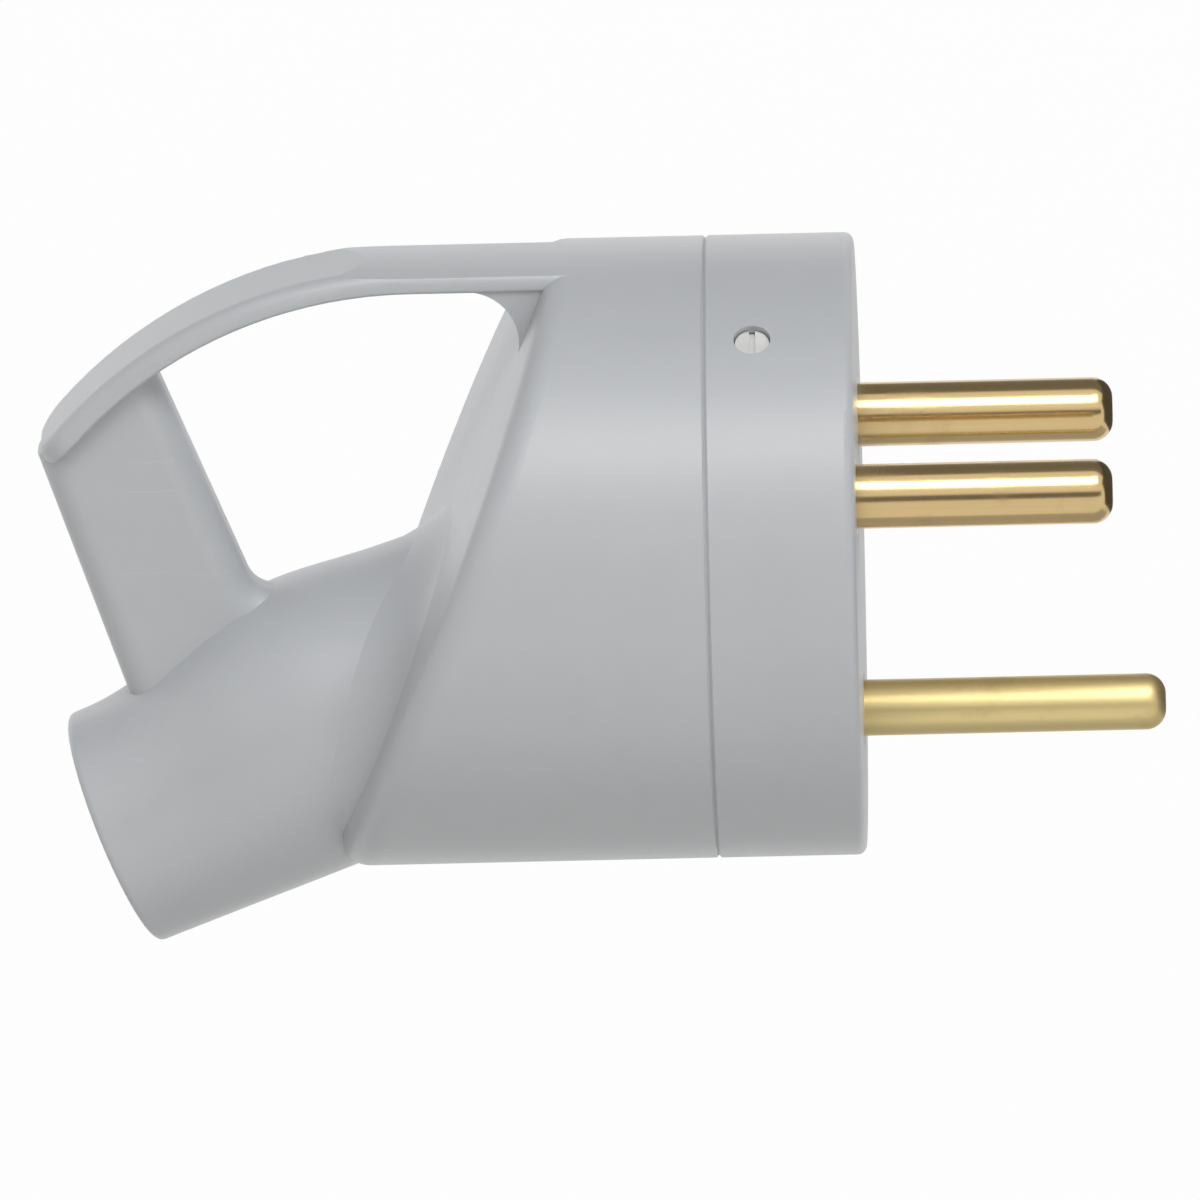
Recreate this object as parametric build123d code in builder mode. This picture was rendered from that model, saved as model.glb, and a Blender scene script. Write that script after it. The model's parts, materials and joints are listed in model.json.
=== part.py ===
from build123d import *
import math
import os

# Electrical plug with a finger ring, in millimetres. The origin is the centre of the socket face,
# +X points out along the pins and +Z points up, towards the strap of the ring.

# Contact pins
pin_pitch = 19.0
line_pin_height = 6.9
line_pin_diameter = 4.8
line_pin_reach = 19.0
earth_pin_drop = 13.0
earth_pin_diameter = 4.2
earth_pin_reach = 22.5
pin_tip_radius = 1.5
neck_step = 0.5
flange_diameter = 9.6
flange_thickness = 2.0
terminal_diameter = 7.0
terminal_length = 12.0
terminal_flat_height = 2.5
wire_hole_diameter = 3.8
wire_hole_depth = 8.0
wire_pinch = 0.4
pin_fit = 0.1

# Round body and its front cover
body_radius = 23.2
body_wall = 3.4
cover_length = 11.0
face_thickness = 3.2
face_edge_radius = 0.7
parting_chamfer = 0.2
skirt_wall = 1.7
skirt_fit = 0.1
spigot_length = 7.0
snap_setback = 5.4
snap_length = 2.4
snap_width = 9.0
snap_height = 0.7

# Slanted back wall of the body
back_reach = 31.6
back_slant = 21.6
back_wall = 2.6
back_rim_radius = 2.3

# Cable outlet: a tilted tube that swells under the leg and runs into the back wall
outlet_tilt = 21.5
outlet_end_back = 56.3
outlet_end_drop = 21.15
outlet_radius = 9.15
outlet_straight = 1.5
outlet_swell = 16.0
outlet_shoulder_radius = 11.05
outlet_root_radius = 10.3
outlet_rim_radius = 0.5
outlet_flare_radius = 4.6
outlet_flare_rise = 0.4
outlet_flare_sink = 0.2
outlet_flare_foot = 0.84
outlet_flare_lift = 3.5
cable_bore_diameter = 12.0

# Finger ring: the strap leaves the top of the body and arches down to the leg
strap_width = 8.4
strap_thickness = 1.7
strap_top_radius = 1.2
strap_under_radius = 0.3
strap_end_radius = 3.0
strap_rise = 0.15
strap_bend_back = 33.0
strap_radius = 34.4
strap_arc = 53.3
strap_root_radius = 4.0
corner_sink = 0.06
leg_setback = 5.6
leg_width = 11.7
leg_depth = 5.6
leg_lean = 3.4
leg_edge_radius = 2.2
leg_toe_radius = 2.2
leg_toe_sink = 0.25
leg_head_radius = 1.5

# Pin carrier with its partition and cable shelf
carrier_thickness = 3.0
carrier_radius = 15.4
carrier_lobe_rim = 1.5
carrier_fit = 0.15
partition_thickness = 1.6
partition_height = 12.0
partition_length = 10.0
shelf_drop = 14.2
shelf_end_back = 25.6
shelf_fit = 0.4
pillar_radius = 2.8

# Cable clamp bridge
cable_diameter = 10.0
clamp_back = 22.0
clamp_length = 6.0
clamp_ear_thickness = 4.0
clamp_arch_wall = 2.2
clamp_screw_span = 18.0

# Screws
screw_diameter = 3.0
screw_fit = 0.05
screw_bite = 4.5
carrier_screw_span = 23.0
carrier_screw_drop = 4.0
carrier_screw_bite = 4.0
carrier_post_radius = 3.0
cover_screw_diameter = 1.5
cover_screw_setback = 7.4
cover_screw_angle = 30.0
cover_screw_sink = 1.25
cover_boss_radius = 1.5
cover_boss_height = 1.3
head_width_ratio = 1.7
head_height_ratio = 0.5
slot_ratio = 0.3

# Places that several pieces share
line_pin_places = [(pin_pitch / 2, line_pin_height), (-pin_pitch / 2, line_pin_height)]
earth_pin_place = (0, -earth_pin_drop)
all_pin_places = line_pin_places + [earth_pin_place]
flange_back = face_thickness + flange_thickness
carrier_back = flange_back + carrier_thickness
terminal_back = flange_back + terminal_length
terminal_screw_back = (carrier_back + terminal_back) / 2
carrier_screw_places = [(side * carrier_screw_span / 2, -carrier_screw_drop) for side in (1, -1)]
skirt_radius = body_radius - skirt_wall
spigot_radius = skirt_radius - skirt_fit
chamber_radius = body_radius - body_wall
shelf_radius = chamber_radius - shelf_fit

# Axis of the cable outlet, from the middle of its mouth up into the body
tilt = math.radians(outlet_tilt)
outlet_mouth = Plane(
    origin=(-outlet_end_back, 0, -outlet_end_drop),
    x_dir=(0, 1, 0),
    z_dir=(math.cos(tilt), 0, math.sin(tilt)),
)
outlet_axis = Axis(outlet_mouth.origin, outlet_mouth.z_dir)
outlet_side = Plane(origin=outlet_mouth.origin, x_dir=outlet_mouth.z_dir, z_dir=(0, -1, 0))
outlet_run = (outlet_end_back - back_reach + chamber_radius) * math.cos(tilt)

# The back wall leans, so that the body is longest at its foot
slant = math.radians(back_slant)
back_plane = Plane(
    origin=(-back_reach, 0, 0),
    x_dir=(0, 1, 0),
    z_dir=(math.cos(slant), 0, -math.sin(slant)),
)
body_foot_back = back_reach + body_radius * math.tan(slant)
body_top_back = back_reach - body_radius * math.tan(slant)

# Middle line of the strap: straight off the body, then an arc
strap_height = body_radius + strap_rise - strap_thickness / 2
strap_centre = outlet_side.to_local_coords(Vector(-strap_bend_back, 0, strap_height - strap_radius))

# The clamp closes at the height of the cable's middle
clamp_height = -outlet_end_drop + (outlet_end_back - clamp_back) * math.tan(tilt)
clamp_screw_places = [(-clamp_back, side * clamp_screw_span / 2) for side in (1, -1)]

# The two cover screws lie in radial planes each side of the top
cover_seat_radius = body_radius - cover_screw_sink
cover_boss_tip = chamber_radius - cover_boss_height
cover_screw_planes = [
    Plane(
        origin=(-cover_screw_setback, 0, 0),
        x_dir=(1, 0, 0),
        z_dir=(0, math.sin(angle), math.cos(angle)),
    )
    for angle in (math.radians(cover_screw_angle), math.radians(-cover_screw_angle))
]


def slotted_screw(seat, diameter, length):
    """A screw whose head stands on the seat plane, with its shank below it."""
    head_diameter = diameter * head_width_ratio
    head_height = diameter * head_height_ratio
    with BuildPart() as screw:
        with BuildSketch(seat):
            Circle(diameter / 2)
        extrude(amount=-length)
        with BuildSketch(seat):
            Circle(head_diameter / 2)
        extrude(amount=head_height)
        with BuildSketch(seat.offset(head_height)):
            Rectangle(diameter * slot_ratio, 2 * head_diameter)
        extrude(amount=-head_height / 2, mode=Mode.SUBTRACT)
    return screw.part


def contact_pin(place, diameter, reach):
    """A turned pin: tip, neck through the face, flange behind it, and a terminal for the wire."""
    neck_radius = diameter / 2 + neck_step
    axis_plane = Plane(origin=(0, *place), x_dir=(1, 0, 0), z_dir=(0, -1, 0))
    flat_plane = Plane.XY.offset(place[1] + terminal_flat_height)
    with BuildPart() as pin:
        with BuildSketch(axis_plane) as profile:
            with BuildLine():
                Polyline(
                    (reach, 0),
                    (reach, diameter / 2),
                    (0, diameter / 2),
                    (0, neck_radius),
                    (-face_thickness, neck_radius),
                    (-face_thickness, flange_diameter / 2),
                    (-flange_back, flange_diameter / 2),
                    (-flange_back, terminal_diameter / 2),
                    (-terminal_back, terminal_diameter / 2),
                    (-terminal_back, 0),
                    close=True,
                )
            make_face()
            fillet(profile.vertices().group_by(Axis.X)[-1].sort_by(Axis.Y)[-1], pin_tip_radius)
        revolve(axis=Axis(axis_plane.origin, axis_plane.x_dir))
        with BuildSketch(Plane.YZ.offset(-terminal_back)):
            with Locations(place):
                Circle(wire_hole_diameter / 2)
        extrude(amount=wire_hole_depth, mode=Mode.SUBTRACT)
        with BuildSketch(flat_plane):
            with Locations((-terminal_screw_back, place[0])):
                Rectangle(terminal_back - carrier_back, terminal_diameter)
        extrude(amount=terminal_diameter / 2, mode=Mode.SUBTRACT)
        with BuildSketch(flat_plane):
            with Locations((-terminal_screw_back, place[0])):
                Circle(screw_diameter / 2 + screw_fit)
        extrude(amount=-terminal_flat_height, mode=Mode.SUBTRACT)
    return pin.part


# Hollow of the body, closed parallel to the slanted back wall
with BuildPart() as wiring_chamber:
    with BuildSketch(Plane.YZ.offset(-cover_length)):
        Circle(chamber_radius)
    extrude(amount=-body_foot_back)
    split(bisect_by=back_plane.offset(back_wall), keep=Keep.TOP)

# Outlet tube: round mouth, then a swelling that keeps the underside straight
shoulder_swell = outlet_shoulder_radius - outlet_radius
root_taper = outlet_root_radius - outlet_shoulder_radius
shoulder_station = outlet_straight + outlet_swell
outlet_sections = [(0, outlet_radius)]
for share in (0, 0.25, 0.5, 0.75, 1):
    swollen_radius = outlet_radius + shoulder_swell * share**2 * (3 - 2 * share)
    outlet_sections.append((outlet_straight + outlet_swell * share, swollen_radius))
for share in (0.33, 0.67, 1):
    tapered_radius = outlet_shoulder_radius + root_taper * share
    outlet_sections.append((shoulder_station + (outlet_run - shoulder_station) * share, tapered_radius))
with BuildPart() as outlet_form:
    for station, radius in outlet_sections:
        with BuildSketch(outlet_mouth.offset(station)):
            with Locations((0, radius - outlet_radius)):
                Circle(radius)
    loft()
    fillet(outlet_form.faces().sort_by(outlet_axis)[0].edges(), outlet_rim_radius)

# Hollow-rounded root of the outlet on the back wall: widest at the sides and run out at the rim
wall_lean = math.tan(tilt + slant)
wall_cut = section(outlet_form.part, section_by=back_plane, mode=Mode.PRIVATE)
wall_cut_box = back_plane.to_local_coords(wall_cut).bounding_box()
flare_foot_width = outlet_flare_foot * wall_cut_box.max.X
wall_flat_radius = body_radius - back_rim_radius
flare_foot_drop = math.sqrt(wall_flat_radius**2 - flare_foot_width**2) / math.cos(slant)
with BuildPart() as outlet_flare:
    for degrees in (0, 20, 40, 60, 80):
        turn = math.radians(degrees)
        stand = outlet_flare_radius * (1 - math.sin(turn)) - outlet_flare_sink
        spread = outlet_flare_radius * (1 - math.cos(turn)) - outlet_flare_sink
        half_width = wall_cut_box.max.X + spread
        flare_top = wall_cut_box.max.Y + outlet_flare_rise * spread
        foot_share = math.sqrt(1 - (flare_foot_width / half_width) ** 2)
        flare_drop = (flare_top + flare_foot_drop) / (1 + foot_share)
        half_height = flare_drop - outlet_flare_lift * (1 - math.sin(turn)) / 2
        with BuildSketch(back_plane.offset(-stand)):
            with Locations((0, flare_top - half_height - wall_lean * stand)):
                Ellipse(half_width, half_height)
    loft()

# Strap of the ring, trimmed on top to the round of the body
with BuildPart() as strap_form:
    with BuildLine(Plane.XZ) as strap_line:
        Line((-body_top_back + body_wall, strap_height), (-strap_bend_back, strap_height))
        JernArc((-strap_bend_back, strap_height), (-1, 0), strap_radius, strap_arc)
    with BuildSketch(Plane(origin=strap_line.line @ 0, x_dir=(0, 1, 0), z_dir=(-1, 0, 0))):
        Rectangle(strap_width, strap_thickness)
    sweep(path=strap_line.line)
    strap_end = strap_form.faces().sort_by(Axis.X)[0]
    fillet(strap_end.edges().filter_by(Axis.Y, reverse=True), strap_end_radius)
    fillet(strap_form.edges().filter_by(GeomType.CIRCLE).group_by(SortBy.RADIUS)[-2], strap_under_radius)
    fillet(strap_form.edges().filter_by(GeomType.CIRCLE).group_by(SortBy.RADIUS)[-1], strap_top_radius)
    with BuildSketch(Plane.YZ):
        Circle(body_radius)
    extrude(amount=-2 * outlet_end_back, mode=Mode.INTERSECT)

# Rounded corner under the strap where it leaves the back wall
with BuildPart() as strap_root:
    root_height = strap_height - strap_thickness / 2 + corner_sink
    root_back = back_reach - root_height * math.tan(slant) - corner_sink
    root_span = 3 * strap_root_radius
    with BuildSketch(Plane.XZ) as root_outline:
        with BuildLine():
            Polyline(
                (-root_back - root_span, strap_height),
                (-root_back - root_span, root_height),
                (-root_back, root_height),
                (-root_back - root_span * math.tan(slant), root_height - root_span),
                (-root_back, root_height - root_span),
                (-root_back + back_wall, root_height),
                (-root_back + back_wall, strap_height),
                close=True,
            )
        make_face()
        fillet(root_outline.vertices().sort_by_distance((-root_back, root_height))[0], strap_root_radius)
    extrude(amount=strap_width / 2 - strap_under_radius, both=True)

# Leg of the ring, from the middle line of the strap down into the outlet
with BuildPart() as leg_form:
    leg_inner = leg_setback + leg_width
    leg_toe = leg_inner + 1.15 * leg_toe_radius
    leg_top = strap_centre.Y + strap_radius
    inner_radius = strap_radius - strap_thickness / 2 + corner_sink
    inner_corner = strap_centre.Y + math.sqrt(inner_radius**2 - (leg_inner - strap_centre.X) ** 2)
    lean = math.tan(math.radians(leg_lean))
    toe_height = shoulder_swell + outlet_shoulder_radius - leg_toe_sink
    with BuildSketch(outlet_side) as leg_outline:
        with BuildLine():
            Polyline(
                (leg_setback - toe_height * lean, 0),
                (leg_toe, 0),
                (leg_toe, toe_height),
                (leg_inner, toe_height),
                (leg_inner, leg_top),
                (leg_setback + (leg_top - toe_height) * lean, leg_top),
                close=True,
            )
        make_face()
        fillet(leg_outline.vertices().sort_by_distance((leg_inner, toe_height))[0], leg_toe_radius)
        with BuildSketch(mode=Mode.ADD):
            with Locations((strap_centre.X, strap_centre.Y)):
                Circle(strap_radius + 4 * leg_edge_radius)
                Circle(inner_radius, mode=Mode.SUBTRACT)
            with Locations((leg_inner + leg_head_radius, inner_corner)):
                Rectangle(4 * leg_head_radius, 8 * leg_head_radius, mode=Mode.INTERSECT)
        fillet(leg_outline.vertices().sort_by_distance((leg_inner, inner_corner))[0], leg_head_radius)
    extrude(amount=leg_depth / 2, both=True)
    leg_rims = leg_form.faces().filter_by(Axis.Y).edges()
    fillet(leg_rims.filter_by(GeomType.LINE).sort_by(SortBy.LENGTH)[-4:], leg_edge_radius)
    with BuildSketch(outlet_side):
        with Locations((strap_centre.X, strap_centre.Y)):
            Circle(strap_radius + strap_thickness / 4)
    extrude(amount=leg_depth, both=True, mode=Mode.INTERSECT)

# Rear housing: round body, outlet, ring and the spigot that the front cover slides on
with BuildPart() as rear_housing:
    with BuildSketch(Plane.YZ.offset(-cover_length)):
        Circle(body_radius)
    extrude(amount=-body_foot_back)
    split(bisect_by=back_plane, keep=Keep.TOP)
    fillet(rear_housing.faces().sort_by(Axis.X)[0].edges(), back_rim_radius)
    chamfer(rear_housing.faces().sort_by(Axis.X)[-1].edges(), parting_chamfer)
    add(outlet_form.part)
    add(outlet_flare.part)
    add(leg_form.part)
    add(strap_form.part)
    add(strap_root.part)
    add(wiring_chamber.part, mode=Mode.SUBTRACT)
    with BuildSketch(Plane.YZ.offset(-cover_length)):
        Circle(spigot_radius)
        Circle(chamber_radius, mode=Mode.SUBTRACT)
    extrude(amount=spigot_length)
    with BuildSketch(Plane.YZ.offset(-snap_setback)):
        Circle(spigot_radius + snap_height)
        Circle((spigot_radius + chamber_radius) / 2, mode=Mode.SUBTRACT)
        Rectangle(snap_width, 2 * body_radius, align=(Align.CENTER, Align.MAX), mode=Mode.INTERSECT)
    extrude(amount=-snap_length)
    for radial in cover_screw_planes:
        with BuildSketch(radial.offset(cover_boss_tip)):
            Circle(cover_boss_radius)
        extrude(amount=(spigot_radius + chamber_radius) / 2 - cover_boss_tip)
    for radial in cover_screw_planes:
        with BuildSketch(radial.offset(body_radius)):
            Circle(cover_screw_diameter / 2 + screw_fit)
        extrude(amount=-body_radius / 2, mode=Mode.SUBTRACT)
    with BuildSketch(outlet_mouth):
        Circle(cable_bore_diameter / 2)
    extrude(amount=outlet_run, mode=Mode.SUBTRACT)
    mouth_edges = rear_housing.edges().filter_by(GeomType.CIRCLE).group_by(outlet_axis)[0]
    fillet(mouth_edges.sort_by(SortBy.RADIUS)[0], outlet_rim_radius)

# Front cover: socket face with pin holes, skirt over the spigot, posts for the carrier
with BuildPart() as front_cover:
    with BuildSketch(Plane.YZ):
        Circle(body_radius)
    extrude(amount=-cover_length)
    fillet(front_cover.faces().sort_by(Axis.X)[-1].edges(), face_edge_radius)
    chamfer(front_cover.faces().sort_by(Axis.X)[0].edges(), parting_chamfer)
    with BuildSketch(Plane.YZ.offset(-cover_length)):
        Circle(skirt_radius)
    extrude(amount=cover_length - face_thickness, mode=Mode.SUBTRACT)
    with BuildSketch(Plane.YZ.offset(-snap_setback + skirt_fit)):
        Circle(spigot_radius + snap_height + skirt_fit)
        Rectangle(
            snap_width + 2 * skirt_fit,
            2 * body_radius,
            align=(Align.CENTER, Align.MAX),
            mode=Mode.INTERSECT,
        )
    extrude(amount=-snap_length - 2 * skirt_fit, mode=Mode.SUBTRACT)
    with BuildSketch(Plane.YZ.offset(-face_thickness)):
        with Locations(carrier_screw_places):
            Circle(carrier_post_radius)
    extrude(amount=-flange_thickness)
    with BuildSketch(Plane.YZ.offset(-flange_back)):
        with Locations(carrier_screw_places):
            Circle(screw_diameter / 2 + screw_fit)
    extrude(amount=carrier_screw_bite, mode=Mode.SUBTRACT)
    with BuildSketch(Plane.YZ):
        with Locations(line_pin_places):
            Circle(line_pin_diameter / 2 + neck_step + pin_fit)
        with Locations(earth_pin_place):
            Circle(earth_pin_diameter / 2 + neck_step + pin_fit)
    extrude(amount=-face_thickness, mode=Mode.SUBTRACT)
    for radial in cover_screw_planes:
        with BuildSketch(radial.offset(cover_seat_radius)):
            Circle(cover_screw_diameter * head_width_ratio / 2 + pin_fit)
        extrude(amount=body_wall, mode=Mode.SUBTRACT)
        with BuildSketch(radial.offset(cover_seat_radius)):
            Circle(cover_screw_diameter / 2 + pin_fit)
        extrude(amount=-body_wall, mode=Mode.SUBTRACT)

# Pin carrier: plate behind the flanges, partition between the line terminals, shelf for the cable
with BuildPart() as pin_carrier:
    with BuildSketch(Plane.YZ.offset(-flange_back)):
        Circle(carrier_radius)
        with Locations(all_pin_places):
            Circle(terminal_diameter / 2 + carrier_fit + carrier_lobe_rim)
    extrude(amount=-carrier_thickness)
    with BuildSketch(Plane.YZ.offset(-flange_back)):
        Circle(shelf_radius)
        with Locations((0, -shelf_drop)):
            Rectangle(
                2 * shelf_radius,
                2 * shelf_radius,
                align=(Align.CENTER, Align.MAX),
                mode=Mode.INTERSECT,
            )
    extrude(amount=flange_back - shelf_end_back)
    with BuildSketch(Plane.YZ.offset(-carrier_back)):
        with Locations((0, line_pin_height)):
            Rectangle(partition_thickness, partition_height)
    extrude(amount=-partition_length)
    with BuildSketch(Plane.XY.offset(-shelf_drop)):
        with Locations(clamp_screw_places):
            Circle(pillar_radius)
    extrude(amount=shelf_drop + clamp_height)
    with BuildSketch(Plane.XY.offset(clamp_height)):
        with Locations(clamp_screw_places):
            Circle(screw_diameter / 2 + screw_fit)
    extrude(amount=-screw_bite, mode=Mode.SUBTRACT)
    with BuildSketch(Plane.YZ.offset(-flange_back)):
        with Locations(all_pin_places):
            Circle(terminal_diameter / 2 + carrier_fit)
        with Locations(carrier_screw_places):
            Circle(screw_diameter / 2 + pin_fit)
    extrude(amount=-carrier_thickness, mode=Mode.SUBTRACT)
    with BuildSketch(Plane.YZ.offset(-carrier_back)):
        with Locations(earth_pin_place):
            Circle(terminal_diameter / 2 + shelf_fit)
    extrude(amount=carrier_back - terminal_back - shelf_fit, mode=Mode.SUBTRACT)

# Cable clamp: a bridge over the cable with an ear on each pillar
with BuildPart() as cable_clamp:
    with BuildSketch(Plane.YZ.offset(clamp_length / 2 - clamp_back)):
        with Locations((0, clamp_height)):
            Circle(cable_diameter / 2 + clamp_arch_wall)
            Rectangle(clamp_screw_span + 2 * pillar_radius, 2 * clamp_ear_thickness)
            Circle(cable_diameter / 2, mode=Mode.SUBTRACT)
            Rectangle(
                clamp_screw_span + 2 * pillar_radius,
                cable_diameter + 2 * clamp_arch_wall,
                align=(Align.CENTER, Align.MAX),
                mode=Mode.SUBTRACT,
            )
    extrude(amount=-clamp_length)
    with BuildSketch(Plane.XY.offset(clamp_height)):
        with Locations(clamp_screw_places):
            Circle(screw_diameter / 2 + pin_fit)
    extrude(amount=clamp_ear_thickness, mode=Mode.SUBTRACT)

# Contact pins
line_pin_left = contact_pin(line_pin_places[0], line_pin_diameter, line_pin_reach)
line_pin_right = contact_pin(line_pin_places[1], line_pin_diameter, line_pin_reach)
earth_pin = contact_pin(earth_pin_place, earth_pin_diameter, earth_pin_reach)

# Wire screws, one on the flat of each terminal
terminal_screw_list = [
    slotted_screw(
        Plane((-terminal_screw_back, side, height + terminal_flat_height)),
        screw_diameter,
        terminal_flat_height - wire_pinch,
    )
    for side, height in all_pin_places
]
with BuildPart() as terminal_screws:
    add(terminal_screw_list)

# Screws through the carrier into the posts of the cover
carrier_screw_list = [
    slotted_screw(
        Plane(origin=(-carrier_back, side, height), x_dir=(0, 1, 0), z_dir=(-1, 0, 0)),
        screw_diameter,
        carrier_thickness + carrier_screw_bite - carrier_fit,
    )
    for side, height in carrier_screw_places
]
with BuildPart() as carrier_screws:
    add(carrier_screw_list)

# Screws through the clamp's ears into the pillars
clamp_screw_list = [
    slotted_screw(
        Plane((back, side, clamp_height + clamp_ear_thickness)),
        screw_diameter,
        clamp_ear_thickness + screw_bite - carrier_fit,
    )
    for back, side in clamp_screw_places
]
with BuildPart() as clamp_screws:
    add(clamp_screw_list)

# Sunk screws through the skirt into the bosses of the spigot
cover_screw_list = [
    slotted_screw(
        radial.offset(cover_seat_radius),
        cover_screw_diameter,
        cover_seat_radius - cover_boss_tip - carrier_fit,
    )
    for radial in cover_screw_planes
]
with BuildPart() as cover_screws:
    add(cover_screw_list)

os.makedirs("parts", exist_ok=True)
pieces = {
    "rear_housing": rear_housing.part,
    "front_cover": front_cover.part,
    "line_pin_left": line_pin_left,
    "line_pin_right": line_pin_right,
    "earth_pin": earth_pin,
    "pin_carrier": pin_carrier.part,
    "cable_clamp": cable_clamp.part,
    "terminal_screws": terminal_screws.part,
    "carrier_screws": carrier_screws.part,
    "clamp_screws": clamp_screws.part,
    "cover_screws": cover_screws.part,
}
for name, piece in pieces.items():
    piece.label = name
    export_step(piece, f"parts/{name}.step")
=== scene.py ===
import json
import math

import bmesh
import bpy
from mathutils import Matrix, Vector


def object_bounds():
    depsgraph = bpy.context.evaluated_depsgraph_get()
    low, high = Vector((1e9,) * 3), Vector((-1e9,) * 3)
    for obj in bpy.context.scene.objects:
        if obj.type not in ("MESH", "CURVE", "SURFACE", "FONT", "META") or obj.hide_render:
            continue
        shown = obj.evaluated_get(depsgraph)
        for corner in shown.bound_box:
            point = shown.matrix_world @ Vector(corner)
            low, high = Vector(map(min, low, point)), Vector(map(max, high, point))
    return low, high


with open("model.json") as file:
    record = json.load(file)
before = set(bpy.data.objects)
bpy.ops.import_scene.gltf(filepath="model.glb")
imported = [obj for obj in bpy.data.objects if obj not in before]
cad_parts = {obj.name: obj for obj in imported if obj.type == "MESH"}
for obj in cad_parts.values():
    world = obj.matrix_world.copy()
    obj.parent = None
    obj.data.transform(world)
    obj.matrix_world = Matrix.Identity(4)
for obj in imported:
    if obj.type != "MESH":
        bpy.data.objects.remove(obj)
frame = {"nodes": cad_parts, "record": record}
cad_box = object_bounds()

# How the photograph is taken: the camera's turn, height and roll in degrees, its distance in metres,
# and where the middle of the socket face lies in the 1200 x 1200 picture, in pixels
FRAME_PIXELS = 1200
PIXELS_PER_METRE = 13420
CAMERA_TURN = 1.4
CAMERA_HEIGHT = 19.0
CAMERA_ROLL = 1.75
CAMERA_DISTANCE = 2.4
FACE_AT = (860.0, 543.0)
SENSOR_WIDTH = 36.0
NEAR_LIMIT = 0.05
FAR_LIMIT = 50.0

# The studio: the floor's drop below the plug and its side in metres, how much of the floor shows as
# plain white, the strength of the world's light on the plug, and the strength of plain white
FLOOR_DROP = 0.115
FLOOR_SIDE = 8.0
FLOOR_WHITENESS = 0.95
WORLD_LIGHT = 0.460
WHITE_STRENGTH = 1.0

# Grey cards: turn and height in degrees, distance, width and depth in metres, and tone
GREY_CARDS = [
    ("card_behind_camera", 1.0, 7.0, 3.0, (7.0, 1.1), 0.20),
    ("card_overhead", 181.0, 56.0, 2.0, (5.0, 2.2), 0.22),
    # The card below the plug is painted shade: it puts the shade of the floor under the plug into the
    # reflections of the metal
    ("floor_shade_card", 1.0, -90.0, 0.11, (0.26, 0.13), 0.52),
    ("card_right", 118.0, 4.0, 0.16, (0.34, 0.24), 0.10),
]

# Soft lamps: turn and height in degrees, distance, width and depth in metres, watts, and whether
# glossy surfaces mirror the lamp
SOFT_LAMPS = [
    ("top_front_lamp", 14.0, 57.5, 0.9, (0.75, 0.36), 4.4, True),
    ("back_left_lamp", -142.0, 6.0, 1.1, (0.60, 0.60), 5.9, False),
    ("back_right_lamp", 140.0, 4.0, 1.1, (0.60, 0.60), 8.4, False),
    ("front_fill_lamp", 12.0, 8.0, 1.1, (0.70, 0.50), 2.1, False),
]

# Colours, in linear light
WHITE = (1.0, 1.0, 1.0, 1.0)
DAYLIGHT = (0.98, 0.99, 1.0, 1.0)
GREY_DEEP = (0.408, 0.420, 0.434, 1.0)
GREY_PALE = (0.455, 0.467, 0.481, 1.0)
GREY_RUBBED = (0.56, 0.57, 0.58, 1.0)
LINE_BRASS_DEEP = (0.60, 0.435, 0.205, 1.0)
LINE_BRASS_PALE = (0.69, 0.520, 0.265, 1.0)
# Earth pin brass: painted paler and yellower than the line pins' brass, a painted reflection standing in for
# the bright floor it mirrors from below
EARTH_BRASS_LIT_DEEP = (0.70, 0.560, 0.265, 1.0)
EARTH_BRASS_LIT_PALE = (0.79, 0.645, 0.320, 1.0)
BRASS_TARNISH = (0.44, 0.32, 0.160, 1.0)
ZINC_DEEP = (0.66, 0.66, 0.64, 1.0)
ZINC_PALE = (0.80, 0.80, 0.78, 1.0)
RESIN_DEEP = (0.66, 0.64, 0.585, 1.0)
RESIN_PALE = (0.77, 0.75, 0.70, 1.0)
FLOOR_DEEP = (0.68, 0.67, 0.645, 1.0)
FLOOR_PALE = (0.72, 0.71, 0.685, 1.0)


class Wire:
    """One output of a finish's nodes, used in expressions."""

    def __init__(self, finish, socket):
        self.finish = finish
        self.socket = socket

    def maths(self, operation, first, second):
        return self.finish.node("ShaderNodeMath", {"operation": operation}, {0: first, 1: second})

    def other(self, name):
        return Wire(self.finish, self.socket.node.outputs[name])

    def __add__(self, value):
        return self.maths("ADD", self, value)

    def __radd__(self, value):
        return self.maths("ADD", value, self)

    def __mul__(self, value):
        return self.maths("MULTIPLY", self, value)

    def __rmul__(self, value):
        return self.maths("MULTIPLY", value, self)


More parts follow.
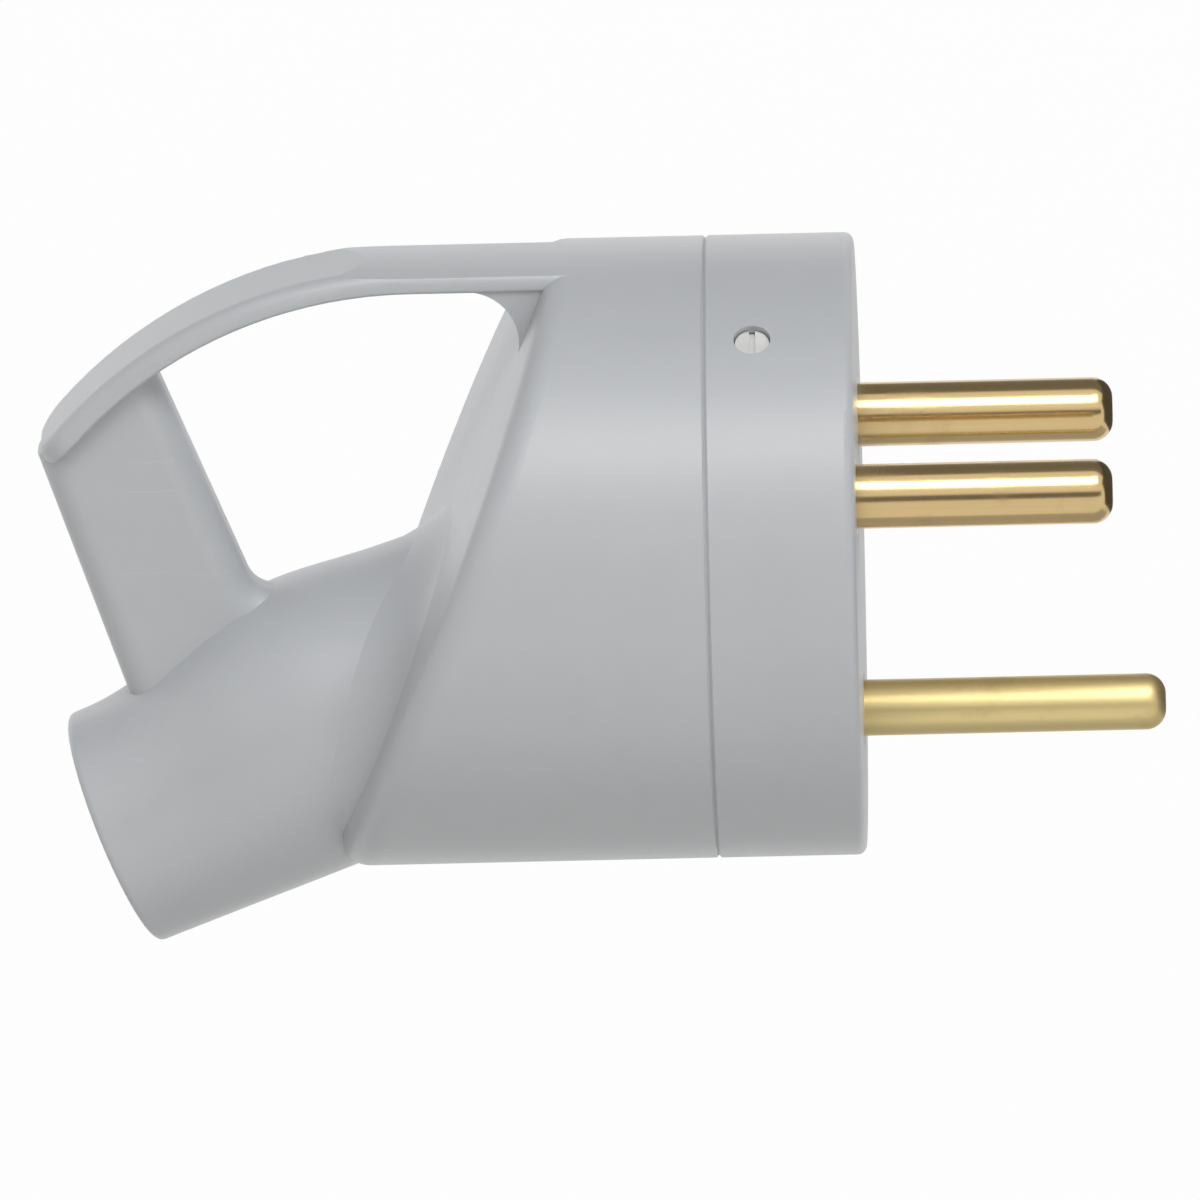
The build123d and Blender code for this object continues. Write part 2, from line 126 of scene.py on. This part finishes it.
class Finish:
    """The nodes of one material, or of the world."""

    def __init__(self, owner):
        owner.use_nodes = True
        self.owner = owner
        self.tree = owner.node_tree
        self.tree.nodes.clear()

    def node(self, kind, settings=None, sockets=None, output=0):
        made = self.tree.nodes.new(kind)
        for key, value in (settings or {}).items():
            setattr(made, key, value)
        for key, value in (sockets or {}).items():
            if isinstance(value, Wire):
                self.tree.links.new(value.socket, made.inputs[key])
            else:
                made.inputs[key].default_value = value
        return Wire(self, made.outputs[output]) if made.outputs else None

    def place(self, stretch=None):
        here = self.node("ShaderNodeTexCoord", output="Object")
        if stretch is None:
            return here
        return self.node("ShaderNodeMapping", None, {"Vector": here, "Scale": stretch})

    def noise(self, place, scale, detail, roughness):
        sockets = {"Vector": place, "Scale": scale, "Detail": detail, "Roughness": roughness}
        return self.node("ShaderNodeTexNoise", None, sockets)

    def ease(self, value, low, high):
        settings = {"interpolation_type": "SMOOTHSTEP"}
        return self.node("ShaderNodeMapRange", settings, {"Value": value, "From Min": low, "From Max": high})

    def blend(self, amount, first, second):
        settings = {"data_type": "RGBA"}
        return self.node("ShaderNodeMix", settings, {"Factor": amount, 6: first, 7: second}, output=2)

    def bump(self, height, strength, depth):
        return self.node("ShaderNodeBump", None, {"Height": height, "Strength": strength, "Distance": depth})

    def surface(self, sockets):
        shader = self.node("ShaderNodeBsdfPrincipled", None, sockets)
        self.node("ShaderNodeOutputMaterial", None, {"Surface": shader})
        return self.owner


def moulded_grey_plastic():
    """Semi-gloss grey housing plastic with a fine moulded grain, flow shades and light handling marks."""
    finish = Finish(bpy.data.materials.new("moulded_grey_plastic"))
    here = finish.place()
    flow = finish.noise(here, 48.0, 3.0, 0.55)
    mottle = finish.noise(here, 420.0, 4.0, 0.6)
    grain = finish.noise(here, 4600.0, 2.0, 0.6)
    rub = finish.noise(finish.place((60.0, 900.0, 900.0)), 1.0, 3.0, 0.6)
    rubbed = finish.ease(rub, 0.60, 0.74) * finish.ease(flow, 0.46, 0.62)
    shade = finish.blend(flow * 0.65 + mottle * 0.35, GREY_DEEP, GREY_PALE)
    return finish.surface(
        {
            "Base Color": finish.blend(rubbed * 0.18, shade, GREY_RUBBED),
            "Roughness": 0.31 + 0.10 * mottle + 0.10 * rubbed,
            "IOR": 1.5,
            "Normal": finish.bump(grain * 0.7 + mottle * 0.3, 0.16, 0.00004),
        }
    )


def turned_brass(name, metal_deep, metal_pale, polish):
    """Brass of a contact pin: drawn streaks along the pin, fine turning marks and a little tarnish."""
    finish = Finish(bpy.data.materials.new(name))
    cloud = finish.noise(finish.place(), 160.0, 4.0, 0.6)
    drawn = finish.noise(finish.place((35.0, 2600.0, 2600.0)), 1.0, 3.0, 0.6)
    turned = finish.noise(finish.place((5200.0, 60.0, 60.0)), 1.0, 2.0, 0.5)
    tarnish = finish.ease(cloud, 0.52, 0.72)
    metal = finish.blend(drawn, metal_deep, metal_pale)
    return finish.surface(
        {
            "Base Color": finish.blend(tarnish * 0.35, metal, BRASS_TARNISH),
            "Metallic": 1.0,
            "Roughness": polish + 0.08 * drawn + 0.12 * tarnish,
            "Normal": finish.bump(drawn * 0.5 + turned * 0.5, 0.10, 0.00002),
        }
    )


def zinc_steel():
    """Zinc-plated screw steel, satin and slightly milky, with turning marks."""
    finish = Finish(bpy.data.materials.new("zinc_steel"))
    here = finish.place()
    milky = finish.noise(here, 700.0, 3.0, 0.6)
    marks = finish.noise(here, 5200.0, 2.0, 0.5)
    return finish.surface(
        {
            "Base Color": finish.blend(milky, ZINC_DEEP, ZINC_PALE),
            "Metallic": 1.0,
            "Roughness": 0.44 + 0.16 * milky,
            "Normal": finish.bump(marks, 0.12, 0.00002),
        }
    )


def carrier_resin():
    """Matte pale insulating resin of the inner carrier and its cable clamp."""
    finish = Finish(bpy.data.materials.new("carrier_resin"))
    here = finish.place()
    flow = finish.noise(here, 90.0, 3.0, 0.55)
    speck = finish.noise(here, 3200.0, 3.0, 0.65)
    return finish.surface(
        {
            "Base Color": finish.blend(flow * 0.7 + speck * 0.3, RESIN_DEEP, RESIN_PALE),
            "Roughness": 0.52 + 0.14 * speck,
            "Normal": finish.bump(speck, 0.2, 0.00004),
        }
    )


FINISHES = {
    "grey_plastic": moulded_grey_plastic(),
    "pin_brass": turned_brass("polished_brass", LINE_BRASS_DEEP, LINE_BRASS_PALE, 0.14),
    "carrier_plastic": carrier_resin(),
    "screw_steel": zinc_steel(),
}

# The earth pin is duller than the line pins, and its paler, yellower brass is painted reflection, standing in
# for the bright floor it mirrors from below
OWN_FINISHES = {
    "earth_pin": turned_brass("satin_brass_painted_lighter", EARTH_BRASS_LIT_DEEP, EARTH_BRASS_LIT_PALE, 0.42),
}

for part in frame["record"]["subparts"]:
    piece = frame["nodes"][part["node"]]
    piece.data.materials.clear()
    piece.data.materials.append(OWN_FINISHES.get(part["node"], FINISHES[part["material_slot"]]))


def shown(finish):
    """1 for what the camera sees, by itself or in metal and glass; 0 for light that falls on the object."""
    seen = finish.node("ShaderNodeLightPath", output="Is Camera Ray")
    return seen + seen.other("Is Glossy Ray") + seen.other("Is Transmission Ray")


def facing(turn, height):
    """The direction from the plug towards a turn and a height in degrees."""
    a, e = math.radians(turn), math.radians(height)
    return Vector((math.sin(a) * math.cos(e), -math.cos(a) * math.cos(e), math.sin(e)))


def stage_sheet(name, material, size, place):
    """A flat sheet of the studio, which isn't part of the plug."""
    sheet = bmesh.new()
    bmesh.ops.create_grid(sheet, x_segments=1, y_segments=1, size=0.5)
    bmesh.ops.scale(sheet, vec=(*size, 1.0), verts=sheet.verts)
    bmesh.ops.transform(sheet, matrix=place, verts=sheet.verts)
    mesh = bpy.data.meshes.new(name)
    sheet.to_mesh(mesh)
    sheet.free()
    mesh.materials.append(material)
    stage = bpy.data.objects.new(name, mesh)
    bpy.context.scene.collection.objects.link(stage)
    return stage


def studio_world():
    """Soft even light on the plug, and a white backdrop behind it."""
    world = bpy.data.worlds.new("studio")
    bpy.context.scene.world = world
    finish = Finish(world)
    soft = finish.node("ShaderNodeBackground", None, {"Color": DAYLIGHT, "Strength": WORLD_LIGHT})
    white = finish.node("ShaderNodeBackground", None, {"Color": WHITE, "Strength": WHITE_STRENGTH})
    mixed = finish.node("ShaderNodeMixShader", None, {0: shown(finish), 1: soft, 2: white})
    finish.node("ShaderNodeOutputWorld", None, {"Surface": mixed})


def studio_floor():
    """A pale paper floor that shows nearly white and keeps the plug's shadow."""
    finish = Finish(bpy.data.materials.new("pale_floor"))
    speck = finish.noise(finish.place(), 260.0, 2.0, 0.5)
    tone = finish.blend(speck, FLOOR_DEEP, FLOOR_PALE)
    paper = finish.node("ShaderNodeBsdfDiffuse", None, {"Color": tone})
    white = finish.node("ShaderNodeEmission", None, {"Color": WHITE, "Strength": WHITE_STRENGTH})
    mixed = finish.node("ShaderNodeMixShader", None, {0: shown(finish) * FLOOR_WHITENESS, 1: paper, 2: white})
    finish.node("ShaderNodeOutputMaterial", None, {"Surface": mixed})
    place = Matrix.Translation((0.0, 0.0, -FLOOR_DROP))
    stage_sheet("floor", finish.owner, (FLOOR_SIDE, FLOOR_SIDE), place)


def grey_cards():
    """Cards round the set that show only as the dark bands in polished metal; the card below the plug is
    painted shade, standing in for the plug's shadow on the floor.
    """
    for name, turn, height, distance, size, tone in GREY_CARDS:
        finish = Finish(bpy.data.materials.new(name))
        speck = finish.noise(finish.place(), 30.0, 2.0, 0.5)
        deep = (tone * 0.9, tone * 0.9, tone * 0.92, 1.0)
        pale = (tone * 1.1, tone * 1.1, tone * 1.12, 1.0)
        grey = finish.blend(speck, deep, pale)
        card = finish.node("ShaderNodeEmission", None, {"Color": grey, "Strength": 1.0})
        finish.node("ShaderNodeOutputMaterial", None, {"Surface": card})
        away = facing(turn, height)
        place = away.to_track_quat("Z", "Y").to_matrix().to_4x4()
        place.translation = away * distance
        sheet = stage_sheet(name, finish.owner, size, place)
        sheet.visible_camera = False
        sheet.visible_diffuse = False
        sheet.visible_shadow = False


def soft_lamps():
    """Rectangular lamps that face the middle of the plug."""
    low, high = cad_box
    middle = (low + high) / 2
    for name, turn, height, distance, size, watts, mirrored in SOFT_LAMPS:
        away = facing(turn, height)
        data = bpy.data.lights.new(name, "AREA")
        data.shape = "RECTANGLE"
        data.size, data.size_y = size
        data.energy = watts
        lamp = bpy.data.objects.new(name, data)
        lamp.location = middle + away * distance
        lamp.rotation_mode = "QUATERNION"
        lamp.rotation_quaternion = (-away).to_track_quat("-Z", "Y")
        lamp.visible_glossy = mirrored
        bpy.context.scene.collection.objects.link(lamp)


def photo_camera():
    """The camera of the photograph, with the socket face at its place in the picture."""
    a, r = math.radians(CAMERA_TURN), math.radians(CAMERA_ROLL)
    away = facing(CAMERA_TURN, CAMERA_HEIGHT)
    level = Vector((math.cos(a), math.sin(a), 0.0))
    upright = away.cross(level)
    across = math.cos(r) * level - math.sin(r) * upright
    up = math.sin(r) * level + math.cos(r) * upright
    middle = FRAME_PIXELS / 2
    aside = (middle - FACE_AT[0]) / PIXELS_PER_METRE
    above = (FACE_AT[1] - middle) / PIXELS_PER_METRE
    data = bpy.data.cameras.new("photo_camera")
    data.sensor_fit = "HORIZONTAL"
    data.sensor_width = SENSOR_WIDTH
    data.lens = SENSOR_WIDTH * CAMERA_DISTANCE * PIXELS_PER_METRE / FRAME_PIXELS
    data.clip_start = NEAR_LIMIT
    data.clip_end = FAR_LIMIT
    camera = bpy.data.objects.new("photo_camera", data)
    place = Matrix((across, up, away)).transposed().to_4x4()
    place.translation = across * aside + up * above + away * CAMERA_DISTANCE
    camera.matrix_world = place
    bpy.context.scene.collection.objects.link(camera)
    bpy.context.scene.camera = camera


bpy.context.scene.view_settings.view_transform = "Standard"
studio_world()
studio_floor()
grey_cards()
soft_lamps()
photo_camera()
